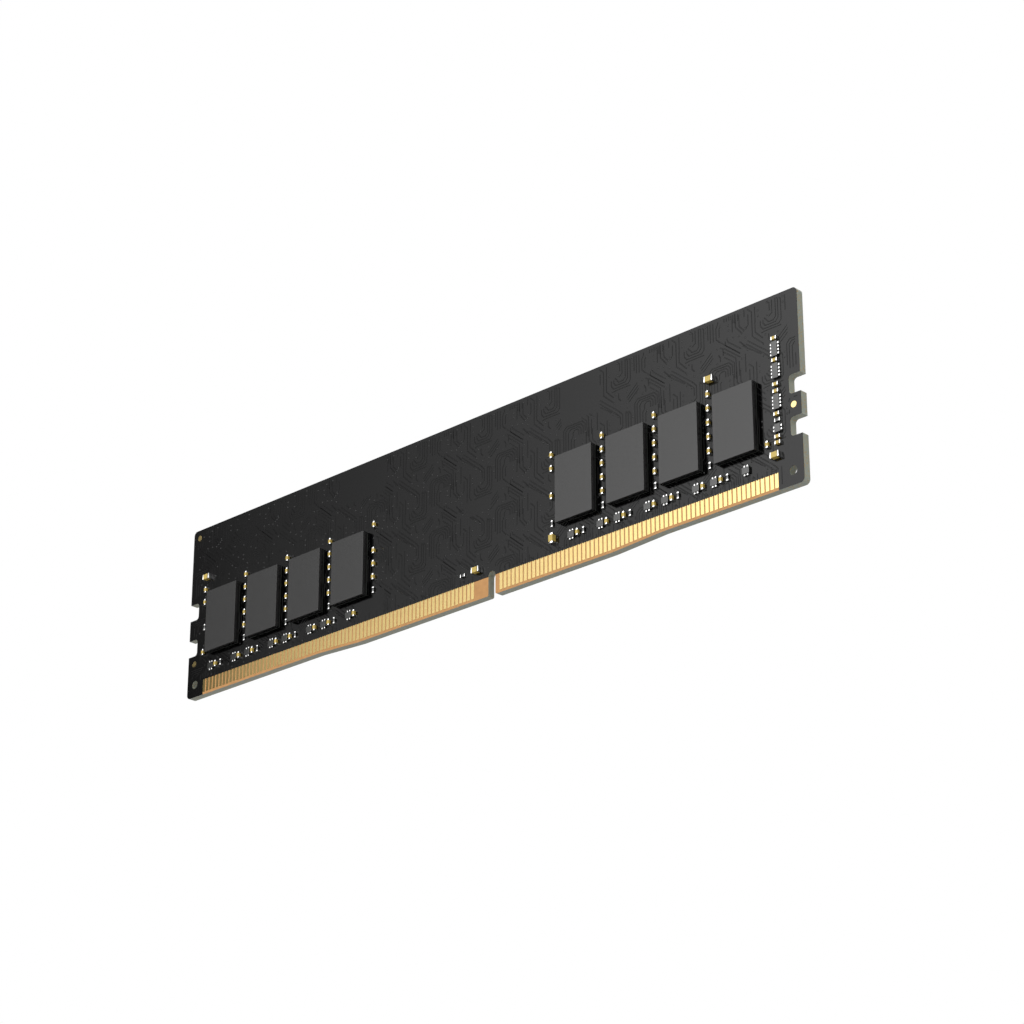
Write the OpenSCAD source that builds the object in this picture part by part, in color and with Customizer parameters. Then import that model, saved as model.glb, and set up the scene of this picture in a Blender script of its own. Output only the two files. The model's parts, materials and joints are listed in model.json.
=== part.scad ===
// Desktop memory module: a notched laminate card with gold edge contacts, eight memory
// packages on its front face, and rows of small passive parts around them.
//
// Frame: X runs along the card, Y through its thickness with the populated face towards -Y,
// and Z up from the lowest part of the contact edge. The origin is the middle of that edge.
// Places along the card are given from its left end, and heights from that lowest edge.

/* [Card] */
// Length of the card
board_w = 133.35; // [132:0.05:136]
// Height of the card above the lowest part of its contact edge
board_h = 31.25; // [30:0.05:34]
// Thickness of the card over both solder masks
board_t = 1.4; // [1.2:0.05:1.6]
// Thickness of each solder mask
mask_t = 0.05; // [0.03:0.01:0.08]
// Radius of the card's four outer corners
corner_r = 0.75; // [0.3:0.05:1.5]
// Step from the middle of the contact edge up to its two ends
edge_rise = 0.5; // [0.2:0.05:0.8]
// Outer end of the left slope of the contact edge
left_slope_out = 33; // [25:0.5:36]
// Inner end of the left slope of the contact edge
left_slope_in = 42.5; // [38:0.5:50]
// Inner end of the right slope of the contact edge
right_slope_in = 97; // [90:0.5:99]
// Outer end of the right slope of the contact edge
right_slope_out = 107; // [101:0.5:112]

/* [Notches and holes] */
// Bottom of the lower latch notch in each end
low_latch_z = 8.0; // [7:0.1:9]
// Bottom of the upper latch notch in each end
high_latch_z = 14.6; // [13:0.1:16]
// Height of a latch notch
latch_h = 3.0; // [2:0.1:3.6]
// Depth of a latch notch
latch_d = 2.1; // [1.2:0.05:2.4]
// Radius of a latch notch's inner corners
latch_r = 0.6; // [0.3:0.05:0.9]
// Middle of the key notch, from the left end
key_x = 72.2; // [71.8:0.05:72.5]
// Width of the key notch, which has a round top
key_w = 1.5; // [1.2:0.05:1.7]
// Top of the key notch
key_top = 4.0; // [3.6:0.05:4.2]
// Radius where the key notch meets the contact edge
key_mouth_r = 0.3; // [0.1:0.05:0.4]
// Radius of the two tooling holes
hole_r = 0.7; // [0.5:0.05:0.8]
// Distance of each tooling hole from its end of the card
hole_x = 1.9; // [1.7:0.05:2.3]
// Height of the tooling holes
hole_z = 2.75; // [2.4:0.05:3.2]

/* [Edge contacts] */
// Distance between contact middles
contact_pitch = 0.861; // [0.84:0.001:0.862]
// Width of a contact
contact_w = 0.6; // [0.45:0.01:0.65]
// Thickness of the gold-plated copper above the laminate
contact_t = 0.04; // [0.02:0.01:0.05]
// Top of every contact, where the solder mask begins
contact_top = 3.2; // [2.6:0.05:3.3]
// Bare laminate between the contacts and the card's edge
contact_margin = 0.42; // [0.3:0.02:0.6]
// Number of contacts to the left of the key notch
left_contacts = 75; // [60:1:75]
// Number of contacts to the right of the key notch
right_contacts = 64; // [50:1:64]
// Middle of the first contact of the left group
left_contact_x = 4.33; // [4.3:0.01:4.5]
// Middle of the first contact of the right group
right_contact_x = 74.18; // [74.1:0.01:74.3]
// Bare laminate beyond the outermost contacts
window_margin = 0.03; // [0.01:0.01:0.2]

/* [Memory packages] */
// Width of a package
dram_w = 7.5; // [7:0.1:8.5]
// Height of a package
dram_l = 11; // [9:0.1:12]
// Thickness of a package's moulding compound
mould_t = 0.88; // [0.6:0.02:1.0]
// Thickness of a package's wiring substrate
substrate_t = 0.2; // [0.15:0.05:0.3]
// Stand-off left by the reflowed solder balls
ball_gap = 0.12; // [0.1:0.02:0.3]
// Diameter of a reflowed solder ball
ball_d = 0.42; // [0.35:0.01:0.46]
// Bevel on the moulding's upper edges
mould_bevel = 0.06; // [0.03:0.01:0.1]
// Distance between package middles within a bank
dram_pitch = 10.44; // [10.3:0.02:10.6]
// Packages in each of the two banks
bank_count = 4; // [4:1:4]
// Middle of the left bank's first package
left_bank_x = 9.2; // [9:0.05:9.5]
// Middle of the right bank's first package
right_bank_x = 90.4; // [90:0.05:91]
// Height of the package middles
dram_z = 12.97; // [12.8:0.01:13.2]

/* [Passive parts] */
// Length of a small ceramic capacitor or a chip resistor
chip_l = 1.05; // [0.95:0.05:1.1]
// Width of a small ceramic capacitor or a chip resistor
chip_w = 0.52; // [0.45:0.01:0.55]
// Height of a small ceramic capacitor
cap_h = 0.5; // [0.4:0.05:0.55]
// Height of a chip resistor
res_h = 0.35; // [0.25:0.05:0.4]
// Length of a bulk capacitor
bulk_l = 1.65; // [1.5:0.05:1.7]
// Width of a bulk capacitor
bulk_w = 0.9; // [0.8:0.05:1.0]
// Height of a bulk capacitor
bulk_h = 0.8; // [0.6:0.05:0.9]
// Height of a resistor network
net_h = 0.4; // [0.3:0.05:0.45]
// Width of a resistor network's body between its two terminal rows
net_w = 1.05; // [0.9:0.05:1.1]
// Distance between neighbouring terminals of a resistor network
net_pitch = 0.55; // [0.5:0.01:0.58]

/* [Placement] */
// Height of the lowest part in the columns beside the packages
row_z = 8.0; // [7.9:0.05:8.2]
// Distance between parts in those columns
row_pitch = 2.28; // [2.2:0.01:2.32]
// First column of the left bank
left_column_x = 4.0; // [3.9:0.05:4.1]
// First column of the right bank
right_column_x = 85.1; // [85:0.05:85.2]
// Height of the row of data-line parts
data_z = 5.17; // [5.1:0.01:5.25]
// Distance between byte groups in that row, eleven contacts of the connector
byte_pitch = 9.36; // [9.3:0.01:9.4]
// From a data network's middle to its capacitor
net_to_cap = 1.27; // [1.24:0.01:1.3]
// From a data network's middle to its resistor
net_to_res = 2.44; // [2.4:0.01:2.5]
// Middle of the column of termination parts near the right end
end_column_x = 129.12; // [129.05:0.01:129.2]

/* [Hidden] */
// Names of the nodes that repeat once for each memory package
dram_count = 2 * bank_count;

$fn = 48;
past = 1;                                  // how far a cutter runs past the solid it cuts
face_y = board_t / 2;                      // distance of each masked face from the middle
laminate_t = board_t - 2 * mask_t;
window_from = left_contact_x - contact_w / 2 - window_margin;
window_to = right_contact_x + (right_contacts - 1) * contact_pitch + contact_w / 2 + window_margin;

plane_t = 0.05;                            // inner copper
plane_y = 0.25;                            // distance of each inner plane from the middle
plane_inset = 0.8;                         // copper kept back from the card's edges
plane_low = 5;                             // bottom of the inner planes, above the contacts
latch_clear = 0.6;                         // copper kept back from the latch notches

// Round marks of bare gold-plated copper: [from the left end, height]
fiducial_d = 1.0;
fiducials = [[1.5, 29.75], [1.5, 6.55], [132.0, 12.85]];

// Solder ball grid: three columns, a gap of three, three columns
ball_pitch = 0.8;
ball_rows = 13;
ball_columns = [-4, -3, -2, 2, 3, 4];
die_w = 5.4;
die_l = 8.4;
die_t = 0.3;

// Columns beside the packages, read upwards: C capacitor, R resistor, a dot is an empty place
left_columns = ["C.R.CC", "RCCCCC", "RCCCCC", "RCCCCC", "RCCC.C"];
right_columns = ["R.C.CC", "RCCCCC", "RCCCCC", "RCCCCC"];

// Data-line row: places of each bank's networks. A full group has a network, a capacitor and
// a resistor, and a short group has no resistor.
full_groups = concat([for (i = [0:3]) 6.1 + i * byte_pitch], [for (i = [0:3]) 89.08 + i * byte_pitch]);
short_groups = concat([for (i = [0:3]) 12.05 + i * byte_pitch], [for (i = [0:2]) 95.02 + i * byte_pitch]);
last_network_x = 123.1;
data_chip_l = 1.1;

// Termination column near the right end, by height
end_network8_z = [22.5, 19.0, 14.1];
end_network4_z = 9.95;
end_capacitor_z = [24.2, 20.7, 16.86, 15.76, 12.18, 8.63, 7.7];
end_resistor_z = 11.25;
corner_capacitor = [127.15, 7.93];
key_resistor = [66.1, 4.8];

// Bulk capacitors: [from the left end, height, turn]
bulk_places = [[4.35, 21.65, 0], [116.95, 21.65, 0], [69.15, 4.85, 0], [85.3, 5.48, 90], [128.67, 5.81, 0]];

// Small parts: body inside the terminals, and how far a terminal wraps along the part
terminal_skin = 0.02;
cap_wrap = 0.25;
res_wrap = 0.22;
bulk_wrap = 0.28;
net_lead_w = 0.32;
net_lead_l = 0.28;
net_lead_h = 0.3;

// Place along the card, measured from its left end
function from_left(x) = x - board_w / 2;

// Height of the contact edge at a place along the card
function edge_z(x) =
    x < left_slope_out ? edge_rise
    : x < left_slope_in ? edge_rise * (left_slope_in - x) / (left_slope_in - left_slope_out)
    : x < right_slope_in ? 0
    : x < right_slope_out ? edge_rise * (x - right_slope_in) / (right_slope_out - right_slope_in)
    : edge_rise;

// Middle of a memory package, numbered from 1 at the left
function dram_x(i) =
    i <= bank_count ? left_bank_x + (i - 1) * dram_pitch
    : right_bank_x + (i - 1 - bank_count) * dram_pitch;

// ---------------------------------------------------------------- card outline

// Stands a drawing in X and Z up in the card, with its solid centred on a distance y
module standing(thickness, y = 0) {
    translate([0, y, 0])
        rotate([90, 0, 0])
            linear_extrude(height = thickness, center = true)
                children();
}

// What a rounded corner takes away from a square one; the corner points to +X and +Y
module corner_waste(r) {
    difference() {
        translate([-r, -r]) square(r + past);
        translate([-r, -r]) circle(r);
    }
}

module latch_notch(z) {
    translate([from_left(0), z]) {
        translate([-past, 0]) square([past + latch_d - latch_r, latch_h]);
        translate([-past, latch_r]) square([past + latch_d, latch_h - 2 * latch_r]);
        for (y = [latch_r, latch_h - latch_r])
            translate([latch_d - latch_r, y]) circle(latch_r);
    }
}

module key_notch() {
    translate([from_left(key_x), 0]) {
        translate([0, key_top - key_w / 2]) circle(key_w / 2);
        translate([-key_w / 2, -past]) square([key_w, past + key_top - key_w / 2]);
        for (side = [0, 1])
            mirror([side, 0])
                translate([-key_w / 2, 0])
                    mirror([0, 1]) corner_waste(key_mouth_r);
    }
}

module tooling_holes() {
    for (x = [hole_x, board_w - hole_x])
        translate([from_left(x), hole_z]) circle(hole_r);
}

module card_outline() {
    difference() {
        polygon([
            [from_left(0), edge_rise],
            [from_left(left_slope_out), edge_rise],
            [from_left(left_slope_in), 0],
            [from_left(right_slope_in), 0],
            [from_left(right_slope_out), edge_rise],
            [from_left(board_w), edge_rise],
            [from_left(board_w), board_h],
            [from_left(0), board_h]
        ]);
        for (side = [0, 1]) mirror([side, 0]) {
            translate([board_w / 2, board_h]) corner_waste(corner_r);
            translate([board_w / 2, edge_rise]) mirror([0, 1]) corner_waste(corner_r);
            latch_notch(low_latch_z);
            latch_notch(high_latch_z);
        }
        key_notch();
    }
}

module plane_outline() {
    difference() {
        translate([from_left(plane_inset), plane_low])
            square([board_w - 2 * plane_inset, board_h - plane_inset - plane_low]);
        for (side = [0, 1]) mirror([side, 0])
            translate([from_left(0), low_latch_z - latch_clear])
                square([latch_d + latch_clear, high_latch_z - low_latch_z + latch_h + 2 * latch_clear]);
    }
}

module inner_plane(y) {
    standing(plane_t, y) plane_outline();
}

module board_laminate() {
    color([0.60, 0.52, 0.36])
        difference() {
            standing(laminate_t)
                difference() {
                    card_outline();
                    tooling_holes();
                }
            inner_plane(-plane_y);
            inner_plane(plane_y);
        }
}

module inner_ground_plane() {
    color([0.80, 0.45, 0.25]) inner_plane(-plane_y);
}

module inner_power_plane() {
    color([0.80, 0.45, 0.25]) inner_plane(plane_y);
}

// ---------------------------------------------------------------- skins on the card

// The strip of bare laminate that the contacts stand on, cut out of a mask
module contact_window() {
    translate([from_left(window_from), -past])
        square([window_to - window_from, past + contact_top]);
}

module solder_mask(side) {
    standing(mask_t, side * (face_y - mask_t / 2))
        difference() {
            card_outline();
            contact_window();
            tooling_holes();
            if (side < 0) fiducial_discs();
        }
}

module front_solder_mask() {
    color([0.11, 0.11, 0.12]) solder_mask(-1);
}

module back_solder_mask() {
    color([0.11, 0.11, 0.12]) solder_mask(1);
}

module fiducial_discs() {
    for (mark = fiducials)
        translate([from_left(mark[0]), mark[1]]) circle(d = fiducial_d);
}

module fiducial_marks() {
    color([0.90, 0.76, 0.40])
        standing(contact_t, contact_t / 2 - laminate_t / 2 - contact_t) fiducial_discs();
}

// A group of contacts on one face; side is -1 for the front and 1 for the back
module contact_group(first_x, count, side) {
    color([0.93, 0.80, 0.45])
        for (i = [0:count - 1]) {
            x = first_x + i * contact_pitch;
            low = edge_z(x) + contact_margin;
            near = side < 0 ? -laminate_t / 2 - contact_t : laminate_t / 2;
            translate([from_left(x) - contact_w / 2, near, low])
                cube([contact_w, contact_t, contact_top - low]);
        }
}

module front_contacts_left() {
    contact_group(left_contact_x, left_contacts, -1);
}

module front_contacts_right() {
    contact_group(right_contact_x, right_contacts, -1);
}

module back_contacts_left() {
    contact_group(left_contact_x, left_contacts, 1);
}

module back_contacts_right() {
    contact_group(right_contact_x, right_contacts, 1);
}

// ---------------------------------------------------------------- memory packages

// Puts a part on the front face: its own X stays, its Y points up and its Z points outwards
module on_front(x, z, turn = 0) {
    translate([from_left(x), -face_y, z])
        rotate([90, 0, 0])
            rotate([0, 0, turn])
                children();
}

module block(w, l, h, low = 0) {
    translate([-w / 2, -l / 2, low]) cube([w, l, h]);
}

module bevelled_end(w, h, bevel) {
    polygon([[-w / 2, 0], [w / 2, 0], [w / 2, h - bevel], [w / 2 - bevel, h], [bevel - w / 2, h], [-w / 2, h - bevel]]);
}

module bevelled_block(w, l, h, bevel) {
    intersection() {
        rotate([90, 0, 0]) linear_extrude(height = l, center = true) bevelled_end(w, h, bevel);
        rotate([90, 0, 90]) linear_extrude(height = w, center = true) bevelled_end(l, h, bevel);
    }
}

module die_block() {
    block(die_w, die_l, die_t, ball_gap + substrate_t);
}

module dram_mould(i) {
    color([0.17, 0.17, 0.18])
        on_front(dram_x(i), dram_z)
            difference() {
                translate([0, 0, ball_gap + substrate_t]) bevelled_block(dram_w, dram_l, mould_t, mould_bevel);
                die_block();
            }
}

module dram_substrate(i) {
    color([0.10, 0.16, 0.11])
        on_front(dram_x(i), dram_z) block(dram_w, dram_l, substrate_t, ball_gap);
}

module dram_die(i) {
    color([0.45, 0.47, 0.52])
        on_front(dram_x(i), dram_z) die_block();
}

// One reflowed ball, flattened between the card and the substrate
module solder_ball() {
    rotate_extrude($fn = 24)
        intersection() {
            translate([0, ball_gap / 2]) circle(d = ball_d);
            square([ball_d, ball_gap]);
        }
}

module dram_solder_balls(i) {
    color([0.75, 0.76, 0.78])
        on_front(dram_x(i), dram_z)
            for (column = ball_columns, row = [0:ball_rows - 1])
                translate([column * ball_pitch, (row - (ball_rows - 1) / 2) * ball_pitch, 0]) solder_ball();
}

// ---------------------------------------------------------------- passive parts

// The ceramic of a two-terminal part, lying along X and reaching into both terminals
module chip_body(l, w, h) {
    skin = terminal_skin;
    translate([0, 0, skin]) block(l - 2 * skin, w - 2 * skin, h - 2 * skin);
}

// The two metal ends of a two-terminal part, each wrapped round its ceramic
module chip_terminals(l, w, h, wrap) {
    difference() {
        for (side = [-1, 1])
            translate([side * (l - wrap) / 2, 0, 0]) block(wrap, w, h);
        chip_body(l, w, h);
    }
}

// The ceramic of a resistor network whose terminals stand along its two long sides
module network_body(pairs) {
    block(net_w, pairs * net_pitch + 0.2, net_h);
}

module network_terminals(pairs) {
    for (side = [-1, 1], i = [0:pairs - 1])
        translate([side * (net_w + net_lead_l) / 2, (i - (pairs - 1) / 2) * net_pitch, 0])
            block(net_lead_l, net_lead_w, net_lead_h);
}

module each_bulk_capacitor() {
    for (place = bulk_places) on_front(place[0], place[1], place[2]) children();
}

// Puts its children at every place of a bank's columns that holds the given kind of part
module each_in_columns(columns, first_x, kind) {
    for (c = [0:len(columns) - 1], r = [0:len(columns[c]) - 1])
        if (columns[c][r] == kind)
            on_front(first_x + c * dram_pitch, row_z + r * row_pitch, 90) children();
}

module each_calibration_resistor() {
    each_in_columns(left_columns, left_column_x, "R") children();
    each_in_columns(right_columns, right_column_x, "R") children();
}

module each_data_network() {
    for (x = concat(full_groups, short_groups, [last_network_x])) on_front(x, data_z, 90) children();
}

module each_data_capacitor() {
    for (x = concat(full_groups, short_groups)) on_front(x + net_to_cap, data_z, 90) children();
}

module each_data_resistor() {
    for (x = full_groups) on_front(x + net_to_res, data_z, 90) children();
    on_front(key_resistor[0], key_resistor[1]) children();
    on_front(end_column_x, end_resistor_z) children();
}

module each_end_network8() {
    for (z = end_network8_z) on_front(end_column_x, z) children();
}

module each_end_capacitor() {
    for (z = end_capacitor_z) on_front(end_column_x, z) children();
    on_front(corner_capacitor[0], corner_capacitor[1], 90) children();
}

module bulk_capacitor_bodies() {
    color([0.80, 0.66, 0.38]) each_bulk_capacitor() chip_body(bulk_l, bulk_w, bulk_h);
}

module bulk_capacitor_terminals() {
    color([0.88, 0.88, 0.88]) each_bulk_capacitor() chip_terminals(bulk_l, bulk_w, bulk_h, bulk_wrap);
}

module left_decoupling_bodies() {
    color([0.80, 0.66, 0.38])
        each_in_columns(left_columns, left_column_x, "C") chip_body(chip_l, chip_w, cap_h);
}

module left_decoupling_terminals() {
    color([0.88, 0.88, 0.88])
        each_in_columns(left_columns, left_column_x, "C") chip_terminals(chip_l, chip_w, cap_h, cap_wrap);
}

module right_decoupling_bodies() {
    color([0.80, 0.66, 0.38])
        each_in_columns(right_columns, right_column_x, "C") chip_body(chip_l, chip_w, cap_h);
}

module right_decoupling_terminals() {
    color([0.88, 0.88, 0.88])
        each_in_columns(right_columns, right_column_x, "C") chip_terminals(chip_l, chip_w, cap_h, cap_wrap);
}

module calibration_resistor_bodies() {
    color([0.30, 0.31, 0.30]) each_calibration_resistor() chip_body(chip_l, chip_w, res_h);
}

module calibration_resistor_terminals() {
    color([0.88, 0.88, 0.88]) each_calibration_resistor() chip_terminals(chip_l, chip_w, res_h, res_wrap);
}

module data_network_bodies() {
    color([0.42, 0.43, 0.41]) each_data_network() network_body(2);
}

module data_network_terminals() {
    color([0.88, 0.88, 0.88]) each_data_network() network_terminals(2);
}

module data_capacitor_bodies() {
    color([0.80, 0.66, 0.38]) each_data_capacitor() chip_body(data_chip_l, chip_w, cap_h);
}

module data_capacitor_terminals() {
    color([0.88, 0.88, 0.88]) each_data_capacitor() chip_terminals(data_chip_l, chip_w, cap_h, cap_wrap);
}

module data_resistor_bodies() {
    color([0.30, 0.31, 0.30]) each_data_resistor() chip_body(chip_l, chip_w, res_h);
}

module data_resistor_terminals() {
    color([0.88, 0.88, 0.88]) each_data_resistor() chip_terminals(chip_l, chip_w, res_h, res_wrap);
}

module end_network_bodies() {
    color([0.42, 0.43, 0.41]) {
        each_end_network8() network_body(4);
        on_front(end_column_x, end_network4_z) network_body(2);
    }
}

module end_network_terminals() {
    color([0.88, 0.88, 0.88]) {
        each_end_network8() network_terminals(4);
        on_front(end_column_x, end_network4_z) network_terminals(2);
    }
}

module end_capacitor_bodies() {
    color([0.80, 0.66, 0.38]) each_end_capacitor() chip_body(chip_l, chip_w, cap_h);
}

module end_capacitor_terminals() {
    color([0.88, 0.88, 0.88]) each_end_capacitor() chip_terminals(chip_l, chip_w, cap_h, cap_wrap);
}

// ---------------------------------------------------------------- what is drawn

board_laminate();
inner_ground_plane();
inner_power_plane();
front_solder_mask();
back_solder_mask();
fiducial_marks();
front_contacts_left();
front_contacts_right();
back_contacts_left();
back_contacts_right();
for (i = [1:dram_count]) {
    dram_mould(i);
    dram_substrate(i);
    dram_die(i);
    dram_solder_balls(i);
}
bulk_capacitor_bodies();
bulk_capacitor_terminals();
left_decoupling_bodies();
left_decoupling_terminals();
right_decoupling_bodies();
right_decoupling_terminals();
calibration_resistor_bodies();
calibration_resistor_terminals();
data_network_bodies();
data_network_terminals();
data_capacitor_bodies();
data_capacitor_terminals();
data_resistor_bodies();
data_resistor_terminals();
end_network_bodies();
end_network_terminals();
end_capacitor_bodies();
end_capacitor_terminals();
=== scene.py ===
"""Looks of a desktop memory module: a notched black card with gold edge contacts, eight memory
packages, and small surface-mounted parts, seen from below and from its right front.

All sizes in the helpers are millimetres; (x, z) places on the card are measured from its left
end and from its lowest edge, and out is the distance outwards from a face."""
import json
import math

import bmesh
import bpy
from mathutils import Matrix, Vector


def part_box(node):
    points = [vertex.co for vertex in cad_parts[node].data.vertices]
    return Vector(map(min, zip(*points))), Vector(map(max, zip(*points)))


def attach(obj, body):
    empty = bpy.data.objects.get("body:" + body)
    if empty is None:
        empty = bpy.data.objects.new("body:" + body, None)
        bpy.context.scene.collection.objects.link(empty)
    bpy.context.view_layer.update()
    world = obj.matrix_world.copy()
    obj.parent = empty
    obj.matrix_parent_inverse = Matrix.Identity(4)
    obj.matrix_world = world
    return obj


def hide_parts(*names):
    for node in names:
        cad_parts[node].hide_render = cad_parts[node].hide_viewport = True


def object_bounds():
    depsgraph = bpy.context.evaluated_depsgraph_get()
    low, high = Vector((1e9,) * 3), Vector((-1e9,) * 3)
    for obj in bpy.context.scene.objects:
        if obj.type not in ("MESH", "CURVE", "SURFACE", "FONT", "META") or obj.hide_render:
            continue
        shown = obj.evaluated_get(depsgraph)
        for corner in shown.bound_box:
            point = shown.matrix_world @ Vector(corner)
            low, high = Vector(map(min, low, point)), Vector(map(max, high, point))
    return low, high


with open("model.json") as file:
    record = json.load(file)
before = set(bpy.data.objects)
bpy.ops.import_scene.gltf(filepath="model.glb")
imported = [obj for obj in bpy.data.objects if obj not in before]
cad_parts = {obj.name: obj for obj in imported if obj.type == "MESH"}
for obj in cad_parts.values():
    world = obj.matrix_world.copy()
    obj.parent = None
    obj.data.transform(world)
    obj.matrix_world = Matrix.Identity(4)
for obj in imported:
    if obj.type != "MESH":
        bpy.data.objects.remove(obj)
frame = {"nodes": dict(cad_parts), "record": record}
cad_lo, cad_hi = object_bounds()
nodes = frame["nodes"]
mounts = {m["name"]: m for m in frame["record"]["mounts"]}

MM = 0.001
card_lo, card_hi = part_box("board_laminate")
LEFT = card_lo.x
CARD_W = (card_hi.x - card_lo.x) / MM
CARD_TOP = card_hi.z / MM
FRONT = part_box("front_solder_mask")[0].y / MM
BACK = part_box("back_solder_mask")[1].y / MM


# ---------------------------------------------------------------- mesh helpers

def islands(name):
    """Lowest and highest corners, in mm, of each separate solid of a CAD node."""
    mesh = nodes[name].data
    keys, index = {}, []
    for v in mesh.vertices:
        key = tuple(round(c, 7) for c in v.co)
        index.append(keys.setdefault(key, len(keys)))
    parent = list(range(len(keys)))

    def root(a):
        while parent[a] != a:
            parent[a] = parent[parent[a]]
            a = parent[a]
        return a

    for p in mesh.polygons:
        first = root(index[p.vertices[0]])
        for v in p.vertices[1:]:
            parent[root(index[v])] = first
    found = {}
    for key, i in keys.items():
        found.setdefault(root(i), []).append(key)
    boxes = []
    for points in found.values():
        lo = Vector(min(p[k] for p in points) / MM for k in range(3))
        hi = Vector(max(p[k] for p in points) / MM for k in range(3))
        boxes.append((lo, hi))
    return sorted(boxes, key=lambda b: (round(b[0].x, 3), round(b[0].z, 3)))


class Build:
    """Vertices and faces of one piece, in mm in the row frame."""

    def __init__(self):
        self.verts, self.faces = [], []

    def add(self, verts, faces):
        base = len(self.verts)
        self.verts.extend(verts)
        self.faces.extend(tuple(base + i for i in f) for f in faces)

    def piece(self, name, material, slot_name, stands_for=(), weighted=False, flat=False):
        mesh = bpy.data.meshes.new(name)
        mesh.from_pydata([Vector(v) * MM for v in self.verts], [], self.faces)
        bm = bmesh.new()
        bm.from_mesh(mesh)
        bmesh.ops.recalc_face_normals(bm, faces=bm.faces)
        bm.to_mesh(mesh)
        bm.free()
        if not flat:
            mesh.shade_smooth()
        mesh.materials.append(material)
        obj = bpy.data.objects.new(name, mesh)
        bpy.context.scene.collection.objects.link(obj)
        if weighted:
            obj.modifiers.new("flat_faces", "WEIGHTED_NORMAL").keep_sharp = True
        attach(obj, "root")
        if stands_for:
            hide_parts(*stands_for)
        return obj


ROUNDED = {}


def rounded(size, radius, steps, faces_only=None):
    """Verts and faces of a block with rounded edges, centred. faces_only="front" leaves the four
    edges of its +Y face sharp."""
    key = (tuple(round(s, 4) for s in size), radius, steps, faces_only)
    if key not in ROUNDED:
        bm = bmesh.new()
        bmesh.ops.create_cube(bm, size=1)
        for v in bm.verts:
            v.co = Vector(v.co[k] * size[k] for k in range(3))
        edges = list(bm.edges)
        if faces_only == "front":
            edges = [e for e in edges if min(v.co.y for v in e.verts) < 0]
        bmesh.ops.bevel(bm, geom=edges, offset=radius, segments=steps, profile=0.5, affect="EDGES",
                        clamp_overlap=True)
        bm.verts.ensure_lookup_table()
        bm.verts.index_update()
        ROUNDED[key] = ([v.co.copy() for v in bm.verts], [[v.index for v in f.verts] for f in bm.faces])
        bm.free()
    return ROUNDED[key]


def put_block(build, lo, hi, radius, steps=3, faces_only=None):
    """Adds a rounded block that fills the box lo to hi."""
    verts, faces = rounded(hi - lo, radius, steps, faces_only)
    middle = (lo + hi) / 2
    build.add([v + middle for v in verts], faces)


# ---------------------------------------------------------------- materials

def fresh(name):
    mat = bpy.data.materials.new(name)
    mat.use_nodes = True
    tree = mat.node_tree
    shader = tree.nodes["Principled BSDF"]
    place = tree.nodes.new("ShaderNodeTexCoord").outputs["Object"]
    return mat, tree, shader, place


def scaled(tree, place, scale):
    """Object coordinates turned into mm and stretched by scale."""
    node = tree.nodes.new("ShaderNodeMapping")
    node.inputs["Scale"].default_value = [s * 1000 for s in scale]
    tree.links.new(place, node.inputs["Vector"])
    return node.outputs["Vector"]


def noise(tree, vector, scale, detail=3.0, rough=0.55):
    node = tree.nodes.new("ShaderNodeTexNoise")
    node.inputs["Scale"].default_value = scale
    node.inputs["Detail"].default_value = detail
    node.inputs["Roughness"].default_value = rough
    tree.links.new(vector, node.inputs["Vector"])
    return node.outputs["Fac"]


def ramp(tree, factor, stops):
    """Colour ramp; stops are (position, (r, g, b))."""
    node = tree.nodes.new("ShaderNodeValToRGB")
    elements = node.color_ramp.elements
    while len(elements) < len(stops):
        elements.new(0.5)
    for element, (position, colour) in zip(elements, stops):
        element.position = position
        element.color = (*colour, 1)
    tree.links.new(factor, node.inputs["Fac"])
    return node.outputs["Color"]


def spread(tree, factor, low, high, from_low=0.3, from_high=0.7):
    """Maps from_low..from_high to low..high. The defaults suit a noise value."""
    node = tree.nodes.new("ShaderNodeMapRange")
    ends = {"From Min": from_low, "From Max": from_high, "To Min": low, "To Max": high}
    for socket, value in ends.items():
        node.inputs[socket].default_value = value
    tree.links.new(factor, node.inputs["Value"])
    return node.outputs["Result"]


def mixed(tree, factor, first, second):
    node = tree.nodes.new("ShaderNodeMix")
    node.data_type = "RGBA"
    tree.links.new(factor, node.inputs["Factor"])
    for socket, value in ((node.inputs["A"], first), (node.inputs["B"], second)):
        if isinstance(value, tuple):
            socket.default_value = (*value, 1)
        else:
            tree.links.new(value, socket)
    return node.outputs["Result"]


def maths(tree, operation, first, second):
    node = tree.nodes.new("ShaderNodeMath")
    node.operation = operation
    for socket, value in zip(node.inputs, (first, second)):
        if isinstance(value, (int, float)):
            socket.default_value = value
        else:
            tree.links.new(value, socket)
    return node.outputs["Value"]


def bumped(tree, shader, height, distance):
    """Bump whose full height is distance, in mm."""
    node = tree.nodes.new("ShaderNodeBump")
    node.inputs["Distance"].default_value = distance * MM
    node.inputs["Strength"].default_value = 1
    tree.links.new(height, node.inputs["Height"])
    tree.links.new(node.outputs["Normal"], shader.inputs["Normal"])


def mask_material():
    """Satin black solder mask."""
    mat, tree, shader, place = fresh("black_solder_mask")
    mm = scaled(tree, place, (1, 1, 1))
    cloud = noise(tree, mm, 0.35, 4)
    colour = ramp(tree, cloud, [(0.3, (0.0003, 0.0003, 0.0003)), (0.7, (0.0007, 0.0007, 0.0008))])
    tree.links.new(colour, shader.inputs["Base Color"])
    tree.links.new(spread(tree, noise(tree, mm, 2.5), 0.115, 0.13), shader.inputs["Roughness"])
    shader.inputs["IOR"].default_value = 1.45
    bumped(tree, shader, noise(tree, mm, 3, 2), 0.0003)
    return mat


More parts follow.
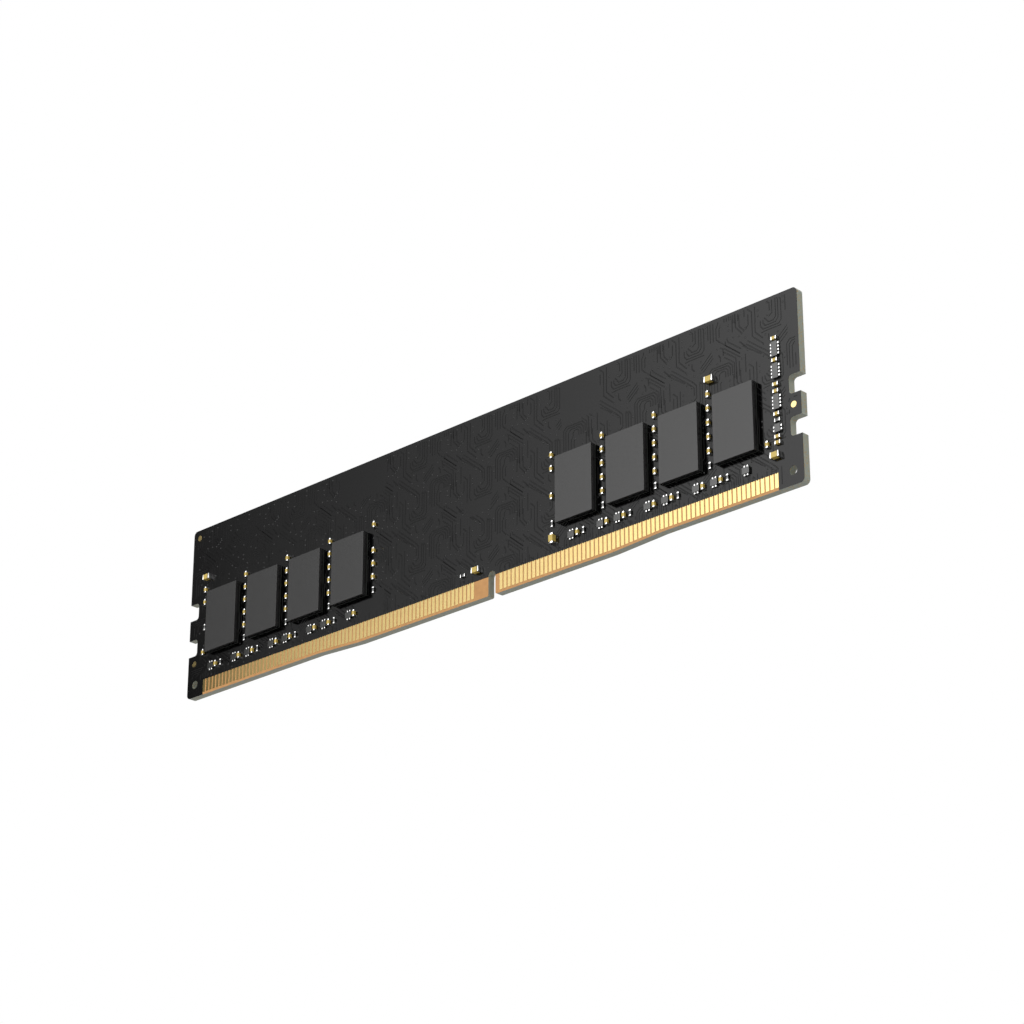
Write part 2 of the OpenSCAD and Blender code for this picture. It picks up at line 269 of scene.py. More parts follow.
def gold_material():
    """Hard gold plating, finely brushed along the contacts and slightly mottled."""
    mat, tree, shader, place = fresh("gold_plating")
    streaks = noise(tree, scaled(tree, place, (9, 9, 0.5)), 1.0, 3)
    mottle = noise(tree, scaled(tree, place, (1, 1, 1)), 1.6, 4)
    colour = ramp(tree, mottle, [(0.3, (0.96, 0.72, 0.30)), (0.7, (1.0, 0.78, 0.34))])
    tree.links.new(colour, shader.inputs["Base Color"])
    shader.inputs["Metallic"].default_value = 1
    both = maths(tree, "ADD", maths(tree, "MULTIPLY", streaks, 0.6), maths(tree, "MULTIPLY", mottle, 0.4))
    tree.links.new(spread(tree, both, 0.10, 0.13), shader.inputs["Roughness"])
    bumped(tree, shader, streaks, 0.00006)
    return mat


def laminate_material():
    """Glass-epoxy laminate: tan on its faces, grey-green with resin flecks on its cut edges."""
    mat, tree, shader, place = fresh("glass_epoxy_laminate")
    mm = scaled(tree, place, (1, 1, 1))
    tan_face = ramp(tree, noise(tree, mm, 1.2, 4),
                    [(0.3, (0.46, 0.222, 0.067)), (0.7, (0.54, 0.275, 0.088))])
    grain = noise(tree, scaled(tree, place, (3, 7, 3)), 1.0, 5, 0.7)
    edge = ramp(tree, grain, [(0.3, (0.235, 0.262, 0.226)), (0.5, (0.293, 0.32, 0.272)),
                              (0.7, (0.352, 0.375, 0.318))])
    fleck = ramp(tree, noise(tree, mm, 5, 1), [(0.58, (0, 0, 0)), (0.63, (1, 1, 1))])
    edge = mixed(tree, maths(tree, "MULTIPLY", fleck, 0.75), edge, (0.40, 0.25, 0.08))
    facing = tree.nodes.new("ShaderNodeNewGeometry").outputs["Normal"]
    split = tree.nodes.new("ShaderNodeSeparateXYZ")
    tree.links.new(facing, split.inputs["Vector"])
    on_face = maths(tree, "GREATER_THAN", maths(tree, "ABSOLUTE", split.outputs["Y"], 0), 0.7)
    tree.links.new(mixed(tree, on_face, edge, tan_face), shader.inputs["Base Color"])
    shader.inputs["Roughness"].default_value = 0.5
    bumped(tree, shader, grain, 0.01)
    return mat


def mould_material():
    """Dark grey moulding compound with a fine matt grain."""
    mat, tree, shader, place = fresh("moulding_compound")
    mm = scaled(tree, place, (1, 1, 1))
    grain = noise(tree, mm, 14, 3, 0.6)
    colour = ramp(tree, grain, [(0.3, (0.0215, 0.0213, 0.021)), (0.7, (0.0265, 0.0263, 0.026))])
    tree.links.new(colour, shader.inputs["Base Color"])
    tree.links.new(spread(tree, noise(tree, mm, 0.6, 2), 0.24, 0.26), shader.inputs["Roughness"])
    shader.inputs["IOR"].default_value = 1.56
    bumped(tree, shader, grain, 0.003)
    return mat


def substrate_material():
    """Thin dark wiring substrate, with sawn edges."""
    mat, tree, shader, place = fresh("package_substrate")
    saw = noise(tree, scaled(tree, place, (4, 16, 4)), 1.0, 3)
    colour = ramp(tree, saw, [(0.3, (0.019, 0.021, 0.018)), (0.7, (0.025, 0.027, 0.024))])
    tree.links.new(colour, shader.inputs["Base Color"])
    shader.inputs["Roughness"].default_value = 0.5
    bumped(tree, shader, saw, 0.004)
    return mat


def silicon_material():
    mat, tree, shader, place = fresh("silicon_die")
    sheen = noise(tree, scaled(tree, place, (1, 1, 1)), 1.5, 2)
    tree.links.new(ramp(tree, sheen, [(0.3, (0.10, 0.11, 0.14)), (0.7, (0.16, 0.17, 0.21))]),
                   shader.inputs["Base Color"])
    shader.inputs["Metallic"].default_value = 0.7
    shader.inputs["Roughness"].default_value = 0.2
    return mat


def copper_material():
    mat, tree, shader, place = fresh("inner_copper")
    tone = noise(tree, scaled(tree, place, (1, 1, 1)), 1.0, 4)
    tree.links.new(ramp(tree, tone, [(0.3, (0.60, 0.25, 0.12)), (0.7, (0.75, 0.36, 0.20))]),
                   shader.inputs["Base Color"])
    shader.inputs["Metallic"].default_value = 1
    shader.inputs["Roughness"].default_value = 0.4
    return mat


def solder_material():
    """Reflowed solder, dulled, with a fine frosted grain."""
    mat, tree, shader, place = fresh("reflowed_solder")
    frost = noise(tree, scaled(tree, place, (1, 1, 1)), 12, 3)
    tree.links.new(ramp(tree, frost, [(0.3, (0.26, 0.265, 0.27)), (0.7, (0.36, 0.36, 0.36))]),
                   shader.inputs["Base Color"])
    shader.inputs["Metallic"].default_value = 1
    tree.links.new(spread(tree, frost, 0.45, 0.55), shader.inputs["Roughness"])
    bumped(tree, shader, frost, 0.003)
    return mat


def tin_material():
    """Matt tin plating of the small parts' ends."""
    mat, tree, shader, place = fresh("tin_plating")
    mottle = noise(tree, scaled(tree, place, (1, 1, 1)), 8, 3)
    tree.links.new(ramp(tree, mottle, [(0.3, (0.84, 0.84, 0.83)), (0.7, (0.95, 0.95, 0.94))]),
                   shader.inputs["Base Color"])
    shader.inputs["Metallic"].default_value = 1
    tree.links.new(spread(tree, mottle, 0.14, 0.18), shader.inputs["Roughness"])
    bumped(tree, shader, mottle, 0.001)
    return mat


def ceramic_material():
    """Tan dielectric ceramic with a slightly grainy glaze."""
    mat, tree, shader, place = fresh("capacitor_ceramic")
    grain = noise(tree, scaled(tree, place, (1, 1, 1)), 7, 4)
    tree.links.new(ramp(tree, grain, [(0.3, (0.50, 0.36, 0.074)), (0.7, (0.61, 0.455, 0.118))]),
                   shader.inputs["Base Color"])
    tree.links.new(spread(tree, grain, 0.3, 0.42), shader.inputs["Roughness"])
    bumped(tree, shader, grain, 0.003)
    return mat


def glaze_material(name):
    """Dark, very glossy glaze over a resistor's film."""
    mat, tree, shader, place = fresh(name)
    mottle = noise(tree, scaled(tree, place, (1, 1, 1)), 5, 4)
    tree.links.new(ramp(tree, mottle, [(0.3, (0.004, 0.0045, 0.0035)), (0.7, (0.008, 0.009, 0.007))]),
                   shader.inputs["Base Color"])
    shader.inputs["IOR"].default_value = 1.95
    tree.links.new(spread(tree, mottle, 0.15, 0.18), shader.inputs["Roughness"])
    bumped(tree, shader, mottle, 0.001)
    return mat


MASK = mask_material()
GOLD = gold_material()
LAMINATE = laminate_material()
MOULD = mould_material()
SUBSTRATE = substrate_material()
SILICON = silicon_material()
COPPER = copper_material()
SOLDER = solder_material()
TIN = tin_material()
CERAMIC = ceramic_material()
NETWORK_GLAZE = glaze_material("network_glaze")
RESISTOR_GLAZE = glaze_material("resistor_glaze")


def paint_cad_nodes():
    """Materials for the CAD nodes that stay in view."""
    for name, obj in nodes.items():
        for start, mat in (("board_laminate", LAMINATE), ("inner_", COPPER), ("front_solder_mask", MASK),
                           ("fiducial", GOLD), ("dram_substrate", SUBSTRATE), ("dram_die", SILICON),
                           ("dram_solder_balls", SOLDER)):
            if name.startswith(start):
                obj.data.materials.clear()
                obj.data.materials.append(mat)


# ---------------------------------------------------------------- relief under the solder mask

TRACK_W = 0.18
TRACK_H = 0.045
RIDGE_TIP = 0.06
VIA_R = 0.17
FAR = 500
TILE = (14.56, 8.925)
TILE_START = (96.0 - 7 * TILE[0], 22.0 - 3 * TILE[1])

# Routes of the outer-layer tracks in one repeat of the pattern, in mm from its lower left corner
ROUTES = [
    [(4.25, 8.7), (4.25, 5.8), (3.8, 5.35), (2.9, 5.35), (2.2, 6.2)],
    [(4.3, 8.9), (4.7, 8.5), (4.7, 5.5), (4.2, 4.95), (2.3, 4.95), (1.9, 5.5), (1.9, 5.9)],
    [(4.8, 8.8), (5.25, 8.3), (5.25, 5.0), (4.8, 4.5), (1.9, 4.5), (1.4, 5.1), (1.4, 5.9)],
    [(0.4, 6.1), (0.4, 4.5), (1.8, 3.1)],
    [(5.2, 4.1), (2.4, 4.1), (1.6, 4.0)],
    [(6.05, -2.7), (6.05, 0.7), (6.6, 1.3), (9.9, 1.3), (10.5, 0.7), (10.5, -0.8)],
    [(6.5, -3.3), (6.5, 0.45), (7.0, 0.95), (9.6, 0.95), (10.1, 0.4), (10.1, -0.8)],
    [(7.05, -3.3), (7.05, 0.1), (7.5, 0.6), (9.2, 0.6), (9.65, 0.2), (9.65, -0.8)],
    [(9.2, -0.8), (9.2, 0.0), (8.9, 0.25), (8.4, 0.25), (8.0, -0.1), (8.0, -0.7), (7.6, -1.3),
     (7.6, -3.1), (8.3, -3.8), (12.0, -6.8)],
    [(8.5, 7.7), (8.2, 7.4), (8.2, 6.0)],
    [(10.7, 8.1), (10.7, 6.0)],
    [(11.3, 9.0), (11.3, 6.6), (12.5, 5.2)],
    [(12.0, 8.4), (12.0, 6.5), (12.9, 5.5)],
    [(13.7, 7.8), (13.7, 6.2), (13.3, 5.7)],
    [(13.6, 8.7), (14.4, 8.0), (14.4, 4.0), (16.4, 2.2)],
    [(15.0, 8.6), (15.0, 6.0)],
    [(13.5, 3.6), (17.4, 0.5), (18.16, -0.3), (18.16, -2.3), (17.6, -2.7)],
    [(13.2, 3.2), (16.9, 0.2), (17.7, -0.6), (17.7, -1.8)],
    [(12.6, 3.1), (15.9, 0.7)],
    [(9.3, 4.9), (9.3, 4.3), (12.0, 2.1)],
    [(9.7, 5.1), (9.8, 4.7), (12.2, 2.8)],
    [(9.0, 3.9), (12.0, 1.5)],
    [(8.3, 4.2), (8.8, 3.9), (8.9, 2.8)],
    [(9.0, 3.3), (11.2, 1.6), (11.3, -1.8)],
    [(9.1, 2.4), (10.85, 1.0), (10.9, -1.5)],
    [(12.0, 4.0), (13.2, 2.8)],
    [(4.5, 2.2), (6.6, 4.0)],
    [(4.7, 1.8), (6.8, 3.5)],
    [(5.0, 1.4), (6.9, 3.0)],
    [(2.85, 3.4), (2.85, 2.6), (3.3, 2.1)],
    [(8.0, 3.1), (8.3, 2.6), (8.3, 2.0)],
    [(13.0, 1.6), (13.0, -1.2)],
    [(11.8, 0.9), (11.8, -1.4)],
]
VIAS = [
    (1.05, 7.8), (1.05, 6.9), (2.75, 8.5), (2.75, 6.5), (5.7, 8.5), (5.7, 7.6), (7.7, 4.1), (8.5, 7.7),
    (10.0, 7.3), (10.05, 6.5), (10.65, 8.2), (10.9, 5.1), (9.7, 5.2), (11.95, 4.9), (12.1, 8.4),
    (12.5, 5.2), (13.2, 6.0), (13.1, 4.3), (13.5, 2.2), (12.4, 1.1), (4.6, 3.2), (6.5, 2.3), (7.7, 1.8),
    (4.6, 1.4), (4.6, 0.6), (2.3, 3.5), (1.9, 2.1), (3.3, 1.3), (1.8, 0.2), (13.3, 5.7), (12.9, 5.5),
]

# Copper is kept back from these by so many mm
HOLE_KEEP_OUT = 1.3
FIDUCIAL_KEEP_OUT = 0.95
LATCH_SIDE_CLEAR = 0.5
LATCH_HALF_HEIGHT = 2
CONTACT_SIDE_CLEAR = 0.5
CONTACT_TOP_CLEAR = 0.25
KEY_CLEAR = 1.3
END_CLEAR = 0.6
BOTTOM_CLEAR = 1.2
TOP_CLEAR = 0.5
# Tracks run this far in under a package
UNDER_PACKAGE = 0.3

# Stretches of the front without tracks: lowest and highest x, lowest and highest z
PLAIN_AREAS = [(37, 48, 25, 32), (87, 95, 24, 32), (66, 72, 14.5, 17), (42, 48, 3, 8),
               (129.5, 134, 0, 8), (131.5, 134, 24, 32)]


def place_of(mount):
    p = mounts[mount]["pos_m"]
    return (p[0] - LEFT) / MM, p[2] / MM


def contact_names(side):
    face = "front" if side < 0 else "back"
    return [f"{face}_contacts_left", f"{face}_contacts_right"]


def keep_outs(side):
    """Round keep-outs (x, z, radius) and boxes (x0, x1, z0, z1) where tracks may not run."""
    rounds, boxes = [], []
    for hole in ("tooling_hole_left", "tooling_hole_right"):
        rounds.append((*place_of(hole), HOLE_KEEP_OUT))
    for lo, hi in islands("fiducial_marks") if side < 0 else []:
        rounds.append(((lo.x + hi.x) / 2 - LEFT / MM, (lo.z + hi.z) / 2, FIDUCIAL_KEEP_OUT))
    for latch in ("low_latch_notch", "high_latch_notch"):
        for end in ("left", "right"):
            x, z = place_of(f"{latch}_{end}")
            low, high = (-FAR, x + LATCH_SIDE_CLEAR) if end == "left" else (x - LATCH_SIDE_CLEAR, FAR)
            boxes.append((low, high, z - LATCH_HALF_HEIGHT, z + LATCH_HALF_HEIGHT))
    names = contact_names(side)
    first = (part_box(names[0])[0].x - LEFT) / MM
    last = (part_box(names[1])[1].x - LEFT) / MM
    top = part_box(names[0])[1].z / MM
    boxes.append((first - CONTACT_SIDE_CLEAR, last + CONTACT_SIDE_CLEAR, -FAR, top + CONTACT_TOP_CLEAR))
    boxes.append((-FAR, END_CLEAR, -FAR, FAR))
    boxes.append((CARD_W - END_CLEAR, FAR, -FAR, FAR))
    boxes.append((-FAR, FAR, -FAR, BOTTOM_CLEAR))
    boxes.append((-FAR, FAR, CARD_TOP - TOP_CLEAR, FAR))
    x, z = place_of("key_notch")
    boxes.append((x - KEY_CLEAR, x + KEY_CLEAR, -FAR, z + KEY_CLEAR))
    if side < 0:
        boxes.extend(PLAIN_AREAS)
        for i in range(1, 9):
            lo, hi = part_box(f"dram_mould_{i}")
            boxes.append(((lo.x - LEFT) / MM + UNDER_PACKAGE, (hi.x - LEFT) / MM - UNDER_PACKAGE,
                          lo.z / MM + UNDER_PACKAGE, hi.z / MM - UNDER_PACKAGE))
    return rounds, boxes


def is_free(x, z, blocked):
    rounds, boxes = blocked
    return not (any((x - a) ** 2 + (z - b) ** 2 < r * r for a, b, r in rounds)
                or any(x0 < x < x1 and z0 < z < z1 for x0, x1, z0, z1 in boxes))


def free_runs(route, blocked):
    """Cuts a route into the stretches that stay clear of every keep-out."""
    fine = []
    for (x0, z0), (x1, z1) in zip(route, route[1:]):
        count = max(1, int(math.hypot(x1 - x0, z1 - z0) / 0.25))
        fine.extend((x0 + (x1 - x0) * i / count, z0 + (z1 - z0) * i / count, i == 0) for i in range(count))
    fine.append((*route[-1], True))
    runs, run = [], []
    for x, z, corner in fine:
        if is_free(x, z, blocked):
            run.append((x, z, corner))
        else:
            runs.append(run)
            run = []
    runs.append(run)
    for run in runs:
        if len(run) > 2:
            yield [(x, z) for k, (x, z, corner) in enumerate(run) if corner or k in (0, len(run) - 1)]


def on_face(x, z, out, side, level):
    """Row-frame place, in mm, of a point that stands out from the face at level."""
    return Vector((x + LEFT / MM, level + side * out, z))


def put_ridge(build, points, side, level):
    """Adds a low flat-topped ridge along points."""
    section = [(-0.5, -0.05), (-0.2, 1), (0.2, 1), (0.5, -0.05)]
    pts = [Vector(p) for p in points]
    headings = [(b - a).normalized() for a, b in zip(pts, pts[1:]) if (b - a).length > 1e-6]
    if len(headings) != len(pts) - 1:
        return
    rows = [(pts[0] - headings[0] * RIDGE_TIP, headings[0], 0.5, -0.05, 1)]
    for i, p in enumerate(pts):
        before, after = headings[max(i - 1, 0)], headings[min(i, len(headings) - 1)]
        mean = (before + after).normalized()
        rows.append((p, mean, 1, 1, 1 / max(0.5, mean.dot(after))))
    rows.append((pts[-1] + headings[-1] * RIDGE_TIP, headings[-1], 0.5, -0.05, 1))
    verts, faces = [], []
    for p, heading, wide, high, stretch in rows:
        normal = Vector((-heading.y, heading.x))
        for u, h in section:
            q = p + normal * (u * TRACK_W * wide * stretch)
            verts.append(on_face(q.x, q.y, TRACK_H * min(h, high), side, level))
    n = len(section)
    for i in range(len(rows) - 1):
        for j in range(n - 1):
            a = i * n + j
            faces.append((a, a + 1, a + n + 1, a + n))
    build.add(verts, faces)


def put_via(build, x, z, side, level):
    """Adds a tented via: a low round bump with a dimple."""
    rings = [(1.0, -0.1), (0.78, 0.75), (0.5, 1.0), (0.25, 0.7)]
    around = 12
    verts = [on_face(x + VIA_R * r * math.cos(math.tau * k / around),
                     z + VIA_R * r * math.sin(math.tau * k / around), TRACK_H * h, side, level)
             for r, h in rings for k in range(around)]
    verts.append(on_face(x, z, TRACK_H * 0.5, side, level))
    faces = [(i * around + k, i * around + (k + 1) % around, (i + 1) * around + (k + 1) % around,
              (i + 1) * around + k) for i in range(len(rings) - 1) for k in range(around)]
    last = (len(rings) - 1) * around
    faces.extend((last + k, last + (k + 1) % around, len(verts) - 1) for k in range(around))
    build.add(verts, faces)


def relief(build, side, level):
    """Adds the tracks and vias of one face. The back has the front's pattern, turned over."""
    blocked = keep_outs(side)

    def turned(x, z):
        return (x, z) if side < 0 else (CARD_W - x, z)

    for column in range(-1, 11):
        for row in range(-1, 5):
            dx, dz = TILE_START[0] + column * TILE[0], TILE_START[1] + row * TILE[1]
            for route in ROUTES:
                for run in free_runs([turned(x + dx, z + dz) for x, z in route], blocked):
                    put_ridge(build, run, side, level)
            for x, z in VIAS:
                x, z = turned(x + dx, z + dz)
                if is_free(x, z, blocked):
                    put_via(build, x, z, side, level)
    names = contact_names(side)
    count = 0
    for name in names:
        for lo, hi in islands(name):
            x = (lo.x + hi.x) / 2 - LEFT / MM
            reach = 0.35 + 0.2 * (count * 7 % 5)
            put_ridge(build, [(x, hi.z - 0.05), (x, hi.z + reach)], side, level)
            count += 1


def front_relief():
    build = Build()
    relief(build, -1, FRONT)
    build.piece("front_mask_relief", MASK, "solder_mask", flat=True)


def back_mask():
    """The back mask's sheet, set in by the tracks' height, with its tracks and vias."""
    level = BACK - TRACK_H
    source = nodes["back_solder_mask"].data
    build = Build()
    build.add([Vector((v.co.x / MM, min(v.co.y / MM, level), v.co.z / MM)) for v in source.vertices],
              [tuple(p.vertices) for p in source.polygons])
    build.piece("back_mask_sheet", MASK, "solder_mask", ["back_solder_mask"], flat=True)
    build = Build()
    relief(build, 1, level)
    build.piece("back_mask_relief", MASK, "solder_mask", flat=True)


# ---------------------------------------------------------------- contacts

def put_contact(build, lo, hi, side):
    """Adds one contact: square at the top, eased at its lower corners, with a narrow bevel."""
    corner, rim, steps = 0.03, 0.008, 5
    outline = [(lo.x, hi.z), (lo.x, lo.z + corner)]
    for k in range(1, steps):
        a = math.pi + math.pi / 2 * k / steps
        outline.append((lo.x + corner + corner * math.cos(a), lo.z + corner + corner * math.sin(a)))
    outline.append((lo.x + corner, lo.z))
    outline.append((hi.x - corner, lo.z))
    for k in range(1, steps):
        a = 1.5 * math.pi + math.pi / 2 * k / steps
        outline.append((hi.x - corner + corner * math.cos(a), lo.z + corner + corner * math.sin(a)))
    outline += [(hi.x, lo.z + corner), (hi.x, hi.z)]
    near, far = (hi.y, lo.y) if side < 0 else (lo.y, hi.y)
    cx, cz = (lo.x + hi.x) / 2, (lo.z + hi.z) / 2
    rings = []
    for inset, y in ((0, near), (0, far - side * rim), (rim, far)):
        sx, sz = 1 - 2 * inset / (hi.x - lo.x), 1 - 2 * inset / (hi.z - lo.z)
        rings.append([Vector((cx + (x - cx) * sx, y, cz + (z - cz) * sz)) for x, z in outline])
    n = len(outline)
    verts = [v for ring in rings for v in ring]
    faces = [(r * n + k, r * n + (k + 1) % n, (r + 1) * n + (k + 1) % n, (r + 1) * n + k)
             for r in range(len(rings) - 1) for k in range(n)]
    faces.append(tuple(2 * n + k for k in range(n)))
    build.add(verts, faces)


def contacts():
    for name in contact_names(-1) + contact_names(1):
        build = Build()
        for lo, hi in islands(name):
            put_contact(build, lo, hi, -1 if name.startswith("front") else 1)
        build.piece(name + "_plated", GOLD, "gold_plating", [name], flat=True)


# ---------------------------------------------------------------- memory packages

PACKAGE_EDGE = 0.025


def packages():
    for i in range(1, 9):
        build = Build()
        lo, hi = (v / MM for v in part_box(f"dram_mould_{i}"))
        put_block(build, lo, hi, PACKAGE_EDGE, 3, "front")
        build.piece(f"dram_{i}_moulding", MOULD, "package_mould", [f"dram_mould_{i}"], weighted=True)


# ---------------------------------------------------------------- small parts

SKIN = 0.02
CHIP_EDGE = 0.02
CHIP_END_EDGE = 0.015
NETWORK_EDGE = 0.03
NETWORK_END_EDGE = 0.025
# A resistor's dark film: how far it reaches under the ends, in from the sides and out of the top
FILM_EDGE = 0.025
FILM_UNDER_ENDS = 0.05
FILM_SIDE_INSET = 0.02
FILM_PROUD = 0.005
FILM_DEPTH = 0.1
FILM_BASE_SET_BACK = 0.03


def chip_part(prefix, body_mat, body_slot, glazed=False):
    """Capacitors or resistors of one group: bodies between wrapped terminals."""
    bodies, ends = Build(), Build()
    wraps = sorted(min(hi.x - lo.x, hi.z - lo.z) for lo, hi in islands(prefix + "_terminals"))
    wrap = wraps[len(wraps) // 2]
    for lo, hi in islands(prefix + "_bodies"):
        lying = hi.x - lo.x > hi.z - lo.z
        along = Vector((1, 0, 0)) if lying else Vector((0, 0, 1))
        if glazed:
            across = Vector((0, 0, 1)) if lying else Vector((1, 0, 0))
            put_block(bodies, lo + Vector((0, FILM_BASE_SET_BACK, 0)), hi, CHIP_EDGE, 2)
            inset = along * (wrap - FILM_UNDER_ENDS) + across * FILM_SIDE_INSET
            film_lo = lo + inset - Vector((0, FILM_PROUD, 0))
            film_hi = hi - inset - Vector((0, FILM_DEPTH, 0))
            put_block(bodies, film_lo, film_hi, FILM_EDGE, 3)
        else:
            put_block(bodies, lo, hi, CHIP_EDGE, 3)
        full_lo = Vector((lo.x - SKIN, lo.y - SKIN, lo.z - SKIN))
        full_hi = Vector((hi.x + SKIN, FRONT, hi.z + SKIN))
        length = (full_hi - full_lo).dot(along)
        for end in (-1, 1):
            cut = along * (length - wrap)
            end_lo = full_lo + (cut if end > 0 else Vector())
            end_hi = full_hi - (Vector() if end > 0 else cut)
            put_block(ends, end_lo, end_hi, CHIP_END_EDGE, 2)
    bodies.piece(prefix + "_ceramic", body_mat, body_slot, [prefix + "_bodies"], weighted=True)
    ends.piece(prefix + "_ends", TIN, "tinned_terminal", [prefix + "_terminals"], weighted=True)


def network_part(prefix):
    """Resistor networks of one group: a glazed body between two rows of round-nosed terminals."""
    bodies, ends = Build(), Build()
    for lo, hi in islands(prefix + "_bodies"):
        put_block(bodies, lo, hi, NETWORK_EDGE, 3)
    for lo, hi in islands(prefix + "_terminals"):
        put_block(ends, lo, hi, NETWORK_END_EDGE, 3, "front")
    bodies.piece(prefix + "_glazed", NETWORK_GLAZE, "network_ceramic", [prefix + "_bodies"],
                 weighted=True)
    ends.piece(prefix + "_ends", TIN, "tinned_terminal", [prefix + "_terminals"], weighted=True)


def small_parts():
    for prefix in ("bulk_capacitor", "left_decoupling", "right_decoupling", "data_capacitor",
                   "end_capacitor"):
        chip_part(prefix, CERAMIC, "capacitor_ceramic")
    for prefix in ("calibration_resistor", "data_resistor"):
        chip_part(prefix, RESISTOR_GLAZE, "resistor_glaze", glazed=True)
    for prefix in ("data_network", "end_network"):
        network_part(prefix)


# ---------------------------------------------------------------- floor, light and camera

FLOOR_Z = -0.28
FLOOR_HALF = 12
SURROUND = 0.01
OVERHEAD = 0.3
# Azimuth, elevation and half width, in degrees, of the slanting edge at the band's lower left
CUT = (49.4, 19.6, 0.7)


def studio_floor():
    mesh = bpy.data.meshes.new("studio_floor")
    corners = [(-FLOOR_HALF, -FLOOR_HALF, 0), (FLOOR_HALF, -FLOOR_HALF, 0),
               (FLOOR_HALF, FLOOR_HALF, 0), (-FLOOR_HALF, FLOOR_HALF, 0)]
    mesh.from_pydata(corners, [], [(0, 1, 2, 3)])
    mat, tree, shader, place = fresh("pale_floor")
    tone = noise(tree, place, 2.0, 2)
    tree.links.new(ramp(tree, tone, [(0.3, (0.63, 0.63, 0.63)), (0.7, (0.65, 0.65, 0.65))]),
                   shader.inputs["Base Color"])
    shader.inputs["Roughness"].default_value = 0.9
    mesh.materials.append(mat)
    floor = bpy.data.objects.new("studio_floor", mesh)
    floor.location.z = FLOOR_Z
    bpy.context.scene.collection.objects.link(floor)


def softbox(name, azimuth, elevation, distance, width, height, radiance):
    """A soft area light that faces the middle of the object; azimuth is in degrees from the front
    towards the left end, and width and height are in degrees as seen from the object."""
    az, el = math.radians(azimuth), math.radians(elevation)
    direction = Vector((-math.sin(az) * math.cos(el), -math.cos(az) * math.cos(el), math.sin(el)))
    data = bpy.data.lights.new(name, "AREA")
    data.shape = "RECTANGLE"
    data.size = 2 * distance * math.tan(math.radians(width / 2))
    data.size_y = 2 * distance * math.tan(math.radians(height / 2))
    data.energy = radiance * math.pi * data.size * data.size_y
    obj = bpy.data.objects.new(name, data)
    obj.location = (cad_lo + cad_hi) / 2 + direction * distance
    obj.rotation_euler = direction.to_track_quat("Z", "Y").to_euler()
    obj.visible_camera = False
    bpy.context.scene.collection.objects.link(obj)


# Radiance of the studio's band of light by azimuth: degrees from the front towards the left end
LIGHT_BAND = [(-140, 0.0), (-120, 0.4), (-100, 1.7), (-62, 1.6), (-54, 0.5), (-34, 0.4), (-22, 1.4),
              (-8, 2.7), (10, 3.0), (24, 2.7), (34, 2.1), (37.8, 1.72), (39.1, 1.42), (41.4, 1.1),
              (43.5, 0.84), (45.5, 0.63), (47.4, 0.46), (49.1, 0.34), (52, 0.22), (60, 0.07), (90, 0.0)]
BAND_SCALE = 4.0


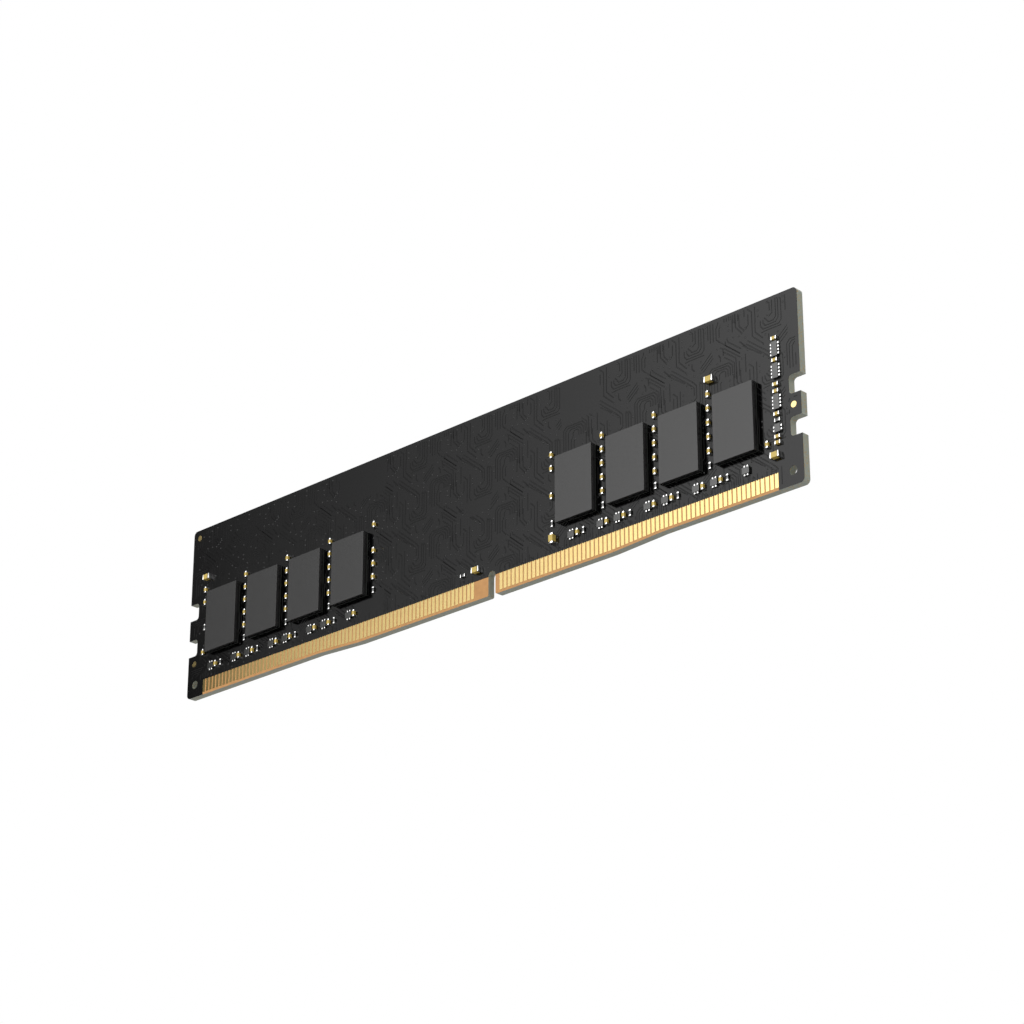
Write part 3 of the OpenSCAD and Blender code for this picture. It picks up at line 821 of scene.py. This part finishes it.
def band_of_light(tree, x, y, z):
    """A soft band of light round the front and right, cut off at its lower left corner."""
    azimuth = maths(tree, "DEGREES", maths(tree, "ARCTAN2", maths(tree, "MULTIPLY", x, -1),
                                           maths(tree, "MULTIPLY", y, -1)), 0)
    elevation = maths(tree, "DEGREES", maths(tree, "ARCSINE", z, 0), 0)
    first, last = LIGHT_BAND[0][0], LIGHT_BAND[-1][0]
    stops = [((at - first) / (last - first), (level / BAND_SCALE,) * 3) for at, level in LIGHT_BAND]
    level = ramp(tree, spread(tree, azimuth, 0, 1, first, last), stops)
    level = maths(tree, "MULTIPLY", level, BAND_SCALE)
    level = maths(tree, "MULTIPLY", level, spread(tree, elevation, 0, 1, -8, 8))
    level = maths(tree, "MULTIPLY", level, spread(tree, elevation, 1, 0, 45, 58))
    level = maths(tree, "MULTIPLY", level, spread(tree, elevation, 1.5, 1, 19.8, 21.8))
    across = maths(tree, "MULTIPLY", maths(tree, "SUBTRACT", azimuth, CUT[0]), -0.86)
    upward = maths(tree, "MULTIPLY", maths(tree, "SUBTRACT", elevation, CUT[1]), 0.5)
    corner = spread(tree, maths(tree, "ADD", across, upward), 0, 1, -CUT[2], CUT[2])
    return maths(tree, "MULTIPLY", level, corner)


def studio():
    """Soft light: a dim surround that brightens overhead, a band of light round the front and right,
    and a back light. The camera sees the surround as white."""
    world = bpy.data.worlds.new("soft_studio")
    bpy.context.scene.world = world
    world.use_nodes = True
    tree = world.node_tree
    lit = tree.nodes["Background"]
    lit.inputs["Color"].default_value = (1, 1, 1, 1)
    split = tree.nodes.new("ShaderNodeSeparateXYZ")
    tree.links.new(tree.nodes.new("ShaderNodeTexCoord").outputs["Generated"], split.inputs["Vector"])
    overhead = spread(tree, split.outputs["Z"], SURROUND, OVERHEAD, 0.55, 0.95)
    band = band_of_light(tree, split.outputs["X"], split.outputs["Y"], split.outputs["Z"])
    tree.links.new(maths(tree, "ADD", overhead, band), lit.inputs["Strength"])
    seen = tree.nodes.new("ShaderNodeBackground")
    seen.inputs["Color"].default_value = (1, 1, 1, 1)
    choose = tree.nodes.new("ShaderNodeMixShader")
    tree.links.new(tree.nodes.new("ShaderNodeLightPath").outputs["Is Camera Ray"], choose.inputs[0])
    tree.links.new(lit.outputs[0], choose.inputs[1])
    tree.links.new(seen.outputs[0], choose.inputs[2])
    tree.links.new(choose.outputs[0], tree.nodes["World Output"].inputs["Surface"])
    softbox("back_softbox", 170, 30, 0.80, 40, 40, 3.0)
    bpy.context.scene.view_settings.view_transform = "Standard"


CAMERA_AT = (0.290935, -0.29327, -0.16054)
CAMERA_HEADING = (-0.63722, 0.66327, 0.39245)
CAMERA_LENS = 100.47


def camera():
    data = bpy.data.cameras.new("camera")
    data.lens, data.sensor_width = CAMERA_LENS, 36
    data.clip_start, data.clip_end = 0.01, 50
    obj = bpy.data.objects.new("camera", data)
    obj.location = CAMERA_AT
    obj.rotation_euler = Vector(CAMERA_HEADING).to_track_quat("-Z", "Y").to_euler()
    bpy.context.scene.collection.objects.link(obj)
    bpy.context.scene.camera = obj


paint_cad_nodes()
front_relief()
back_mask()
contacts()
packages()
small_parts()
studio_floor()
studio()
camera()
